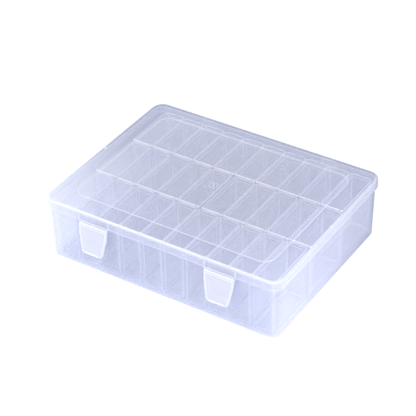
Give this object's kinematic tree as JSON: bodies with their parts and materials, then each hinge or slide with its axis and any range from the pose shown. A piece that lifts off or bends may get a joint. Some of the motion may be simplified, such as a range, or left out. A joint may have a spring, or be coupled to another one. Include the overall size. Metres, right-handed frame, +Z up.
{
  "type": "embroidery thread box",
  "caption": "Low rectangular case of milky clear plastic with a hinged lid and front snap latches, filled with rows of small flip-top boxes for thread.",
  "frame": {"origin": "on the table, under the middle of the closed case's outline, latches and hinges included", "axes": "+Z up; +X along the length, to the right when the latches are seen from the front; front face, with the latches, towards -Y"},
  "size_m": [0.23, 0.1904, 0.0617],
  "materials": {
    "tray_plastic": "milky translucent polypropylene, satin gloss",
    "lid_plastic": "milky translucent polypropylene, smooth gloss",
    "latch_plastic": "frosted white polypropylene",
    "box_plastic": "translucent polypropylene, smooth"
  },
  "bodies": {
    "tray": {"case_tray": "tray_plastic"},
    "lid": {"case_lid": "lid_plastic"},
    "left_latch": {"latch_left": "latch_plastic"},
    "right_latch": {"latch_right": "latch_plastic"},
    "box_front_1": {"small_box_front_1": "box_plastic"},
    "box_front_2": {"small_box_front_2": "box_plastic"},
    "box_front_3": {"small_box_front_3": "box_plastic"},
    "box_front_4": {"small_box_front_4": "box_plastic"},
    "box_front_5": {"small_box_front_5": "box_plastic"},
    "box_front_6": {"small_box_front_6": "box_plastic"},
    "box_front_7": {"small_box_front_7": "box_plastic"},
    "box_front_8": {"small_box_front_8": "box_plastic"},
    "box_front_9": {"small_box_front_9": "box_plastic"},
    "box_front_10": {"small_box_front_10": "box_plastic"},
    "box_middle_1": {"small_box_middle_1": "box_plastic"},
    "box_middle_2": {"small_box_middle_2": "box_plastic"},
    "box_middle_3": {"small_box_middle_3": "box_plastic"},
    "box_middle_4": {"small_box_middle_4": "box_plastic"},
    "box_middle_5": {"small_box_middle_5": "box_plastic"},
    "box_middle_6": {"small_box_middle_6": "box_plastic"},
    "box_middle_7": {"small_box_middle_7": "box_plastic"},
    "box_middle_8": {"small_box_middle_8": "box_plastic"},
    "box_middle_9": {"small_box_middle_9": "box_plastic"},
    "box_middle_10": {"small_box_middle_10": "box_plastic"},
    "box_back_1": {"small_box_back_1": "box_plastic"},
    "box_back_2": {"small_box_back_2": "box_plastic"},
    "box_back_3": {"small_box_back_3": "box_plastic"},
    "box_back_4": {"small_box_back_4": "box_plastic"},
    "box_back_5": {"small_box_back_5": "box_plastic"},
    "box_back_6": {"small_box_back_6": "box_plastic"},
    "box_back_7": {"small_box_back_7": "box_plastic"},
    "box_back_8": {"small_box_back_8": "box_plastic"},
    "box_back_9": {"small_box_back_9": "box_plastic"},
    "box_back_10": {"small_box_back_10": "box_plastic"}
  },
  "joints": [
    {"name": "lid_hinge", "type": "hinge", "parent": "tray", "child": "lid", "pos_m": [0, 0.092, 0.0478], "axis": [-1, 0, 0], "range_deg": [0, 180]},
    {"name": "left_latch_hinge", "type": "hinge", "parent": "lid", "child": "left_latch", "pos_m": [-0.0615, -0.0899, 0.0503], "axis": [-1, 0, 0], "range_deg": [0, 110]},
    {"name": "right_latch_hinge", "type": "hinge", "parent": "lid", "child": "right_latch", "pos_m": [0.0615, -0.0899, 0.0503], "axis": [-1, 0, 0], "range_deg": [0, 110]},
    {"name": "box_front_1_lift", "type": "slide", "parent": "tray", "child": "box_front_1", "axis": [0, 0, 1], "range_m": [0, 0.002]},
    {"name": "box_front_2_lift", "type": "slide", "parent": "tray", "child": "box_front_2", "axis": [0, 0, 1], "range_m": [0, 0.002]},
    {"name": "box_front_3_lift", "type": "slide", "parent": "tray", "child": "box_front_3", "axis": [0, 0, 1], "range_m": [0, 0.002]},
    {"name": "box_front_4_lift", "type": "slide", "parent": "tray", "child": "box_front_4", "axis": [0, 0, 1], "range_m": [0, 0.002]},
    {"name": "box_front_5_lift", "type": "slide", "parent": "tray", "child": "box_front_5", "axis": [0, 0, 1], "range_m": [0, 0.002]},
    {"name": "box_front_6_lift", "type": "slide", "parent": "tray", "child": "box_front_6", "axis": [0, 0, 1], "range_m": [0, 0.002]},
    {"name": "box_front_7_lift", "type": "slide", "parent": "tray", "child": "box_front_7", "axis": [0, 0, 1], "range_m": [0, 0.002]},
    {"name": "box_front_8_lift", "type": "slide", "parent": "tray", "child": "box_front_8", "axis": [0, 0, 1], "range_m": [0, 0.002]},
    {"name": "box_front_9_lift", "type": "slide", "parent": "tray", "child": "box_front_9", "axis": [0, 0, 1], "range_m": [0, 0.002]},
    {"name": "box_front_10_lift", "type": "slide", "parent": "tray", "child": "box_front_10", "axis": [0, 0, 1], "range_m": [0, 0.002]},
    {"name": "box_middle_1_lift", "type": "slide", "parent": "tray", "child": "box_middle_1", "axis": [0, 0, 1], "range_m": [0, 0.002]},
    {"name": "box_middle_2_lift", "type": "slide", "parent": "tray", "child": "box_middle_2", "axis": [0, 0, 1], "range_m": [0, 0.002]},
    {"name": "box_middle_3_lift", "type": "slide", "parent": "tray", "child": "box_middle_3", "axis": [0, 0, 1], "range_m": [0, 0.002]},
    {"name": "box_middle_4_lift", "type": "slide", "parent": "tray", "child": "box_middle_4", "axis": [0, 0, 1], "range_m": [0, 0.002]},
    {"name": "box_middle_5_lift", "type": "slide", "parent": "tray", "child": "box_middle_5", "axis": [0, 0, 1], "range_m": [0, 0.002]},
    {"name": "box_middle_6_lift", "type": "slide", "parent": "tray", "child": "box_middle_6", "axis": [0, 0, 1], "range_m": [0, 0.002]},
    {"name": "box_middle_7_lift", "type": "slide", "parent": "tray", "child": "box_middle_7", "axis": [0, 0, 1], "range_m": [0, 0.002]},
    {"name": "box_middle_8_lift", "type": "slide", "parent": "tray", "child": "box_middle_8", "axis": [0, 0, 1], "range_m": [0, 0.002]},
    {"name": "box_middle_9_lift", "type": "slide", "parent": "tray", "child": "box_middle_9", "axis": [0, 0, 1], "range_m": [0, 0.002]},
    {"name": "box_middle_10_lift", "type": "slide", "parent": "tray", "child": "box_middle_10", "axis": [0, 0, 1], "range_m": [0, 0.002]},
    {"name": "box_back_1_lift", "type": "slide", "parent": "tray", "child": "box_back_1", "axis": [0, 0, 1], "range_m": [0, 0.002]},
    {"name": "box_back_2_lift", "type": "slide", "parent": "tray", "child": "box_back_2", "axis": [0, 0, 1], "range_m": [0, 0.002]},
    {"name": "box_back_3_lift", "type": "slide", "parent": "tray", "child": "box_back_3", "axis": [0, 0, 1], "range_m": [0, 0.002]},
    {"name": "box_back_4_lift", "type": "slide", "parent": "tray", "child": "box_back_4", "axis": [0, 0, 1], "range_m": [0, 0.002]},
    {"name": "box_back_5_lift", "type": "slide", "parent": "tray", "child": "box_back_5", "axis": [0, 0, 1], "range_m": [0, 0.002]},
    {"name": "box_back_6_lift", "type": "slide", "parent": "tray", "child": "box_back_6", "axis": [0, 0, 1], "range_m": [0, 0.002]},
    {"name": "box_back_7_lift", "type": "slide", "parent": "tray", "child": "box_back_7", "axis": [0, 0, 1], "range_m": [0, 0.002]},
    {"name": "box_back_8_lift", "type": "slide", "parent": "tray", "child": "box_back_8", "axis": [0, 0, 1], "range_m": [0, 0.002]},
    {"name": "box_back_9_lift", "type": "slide", "parent": "tray", "child": "box_back_9", "axis": [0, 0, 1], "range_m": [0, 0.002]},
    {"name": "box_back_10_lift", "type": "slide", "parent": "tray", "child": "box_back_10", "axis": [0, 0, 1], "range_m": [0, 0.002]}
  ]
}
